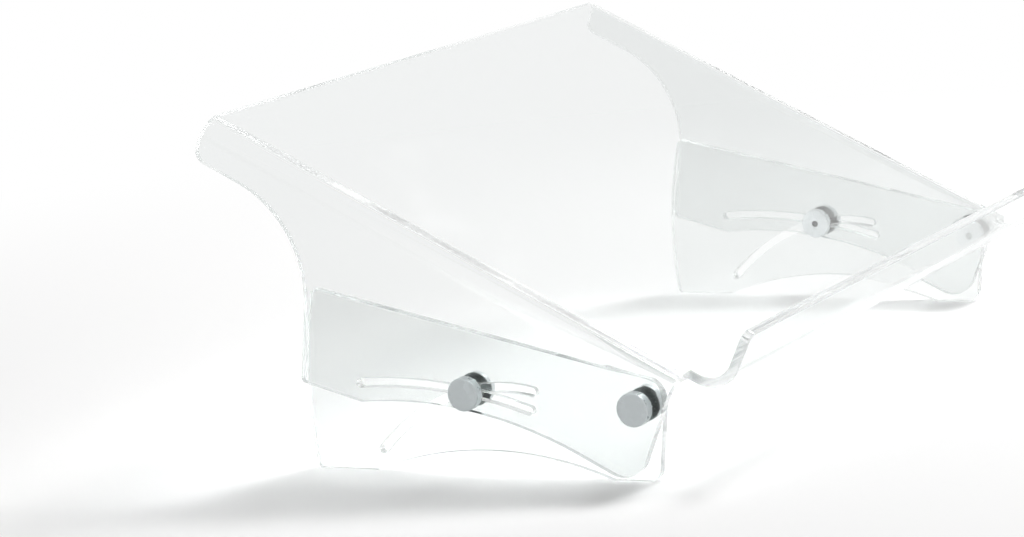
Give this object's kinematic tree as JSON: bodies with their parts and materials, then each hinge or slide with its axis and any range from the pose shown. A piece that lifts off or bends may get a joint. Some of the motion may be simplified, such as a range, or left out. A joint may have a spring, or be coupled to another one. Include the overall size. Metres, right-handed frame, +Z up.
{
  "type": "clear tilting document holder",
  "caption": "Clear folded-sheet document slope with an upturned lip, held on flat side legs by round metal caps and socket screws, tilting along crossed curved slots.",
  "frame": {"origin": "centre of the whole part's box on its underside, at the table", "axes": "+X across the width, +Y to the back, +Z up"},
  "size_m": [0.5132, 0.348, 0.2149],
  "materials": {
    "clear_sheet": "clear acrylic, polished faces and edges",
    "clear_leg_sheet": "clear acrylic, polished faces and edges",
    "clear_washer": "clear soft plastic",
    "cap_metal": "satin",
    "screw_metal": "satin"
  },
  "bodies": {
    "legs": {"left_leg": "clear_leg_sheet", "right_leg": "clear_leg_sheet", "left_pivot_cap": "cap_metal", "left_pivot_outer_washer": "clear_washer", "left_pivot_spacer": "clear_washer", "left_pivot_inner_washer": "clear_washer", "right_pivot_cap": "cap_metal", "right_pivot_outer_washer": "clear_washer", "right_pivot_spacer": "clear_washer", "right_pivot_inner_washer": "clear_washer"},
    "holder": {"holder": "clear_sheet"},
    "left_clamp": {"left_clamp_cap": "cap_metal", "left_clamp_outer_washer": "clear_washer", "left_clamp_spacer": "clear_washer", "left_clamp_inner_washer": "clear_washer"},
    "left_pivot_screw": {"left_pivot_screw": "screw_metal"},
    "left_clamp_screw": {"left_clamp_screw": "screw_metal"},
    "right_clamp": {"right_clamp_cap": "cap_metal", "right_clamp_outer_washer": "clear_washer", "right_clamp_spacer": "clear_washer", "right_clamp_inner_washer": "clear_washer"},
    "right_pivot_screw": {"right_pivot_screw": "screw_metal"},
    "right_clamp_screw": {"right_clamp_screw": "screw_metal"}
  },
  "joints": [
    {"name": "holder_tilt", "type": "hinge", "parent": "legs", "child": "holder", "pos_m": [0, -0.10944, 0.0455], "axis": [1, 0, 0], "range_deg": [-13.4, 8]},
    {"name": "left_clamp_travel", "type": "hinge", "parent": "holder", "child": "left_clamp", "pos_m": [0, 0.05273, -0.24006], "axis": [1, 0, 0], "range_deg": [-13.5, 8.1]},
    {"name": "right_clamp_travel", "type": "hinge", "parent": "holder", "child": "right_clamp", "pos_m": [0, 0.05273, -0.24006], "axis": [1, 0, 0], "range_deg": [-13.5, 8.1]},
    {"name": "left_pivot_screw_turn", "type": "hinge", "parent": "legs", "child": "left_pivot_screw", "pos_m": [0, -0.10944, 0.0455], "axis": [1, 0, 0], "range_deg": [0, 360]},
    {"name": "left_clamp_screw_turn", "type": "hinge", "parent": "left_clamp", "child": "left_clamp_screw", "pos_m": [0, 0.00133, 0.05144], "axis": [1, 0, 0], "range_deg": [0, 360]},
    {"name": "right_pivot_screw_turn", "type": "hinge", "parent": "legs", "child": "right_pivot_screw", "pos_m": [0, -0.10944, 0.0455], "axis": [-1, 0, 0], "range_deg": [0, 360]},
    {"name": "right_clamp_screw_turn", "type": "hinge", "parent": "right_clamp", "child": "right_clamp_screw", "pos_m": [0, 0.00133, 0.05144], "axis": [-1, 0, 0], "range_deg": [0, 360]}
  ],
  "couplings": [
    {"joint": "left_clamp_travel", "follows": "holder_tilt", "ratio": 1},
    {"joint": "right_clamp_travel", "follows": "holder_tilt", "ratio": 1}
  ]
}
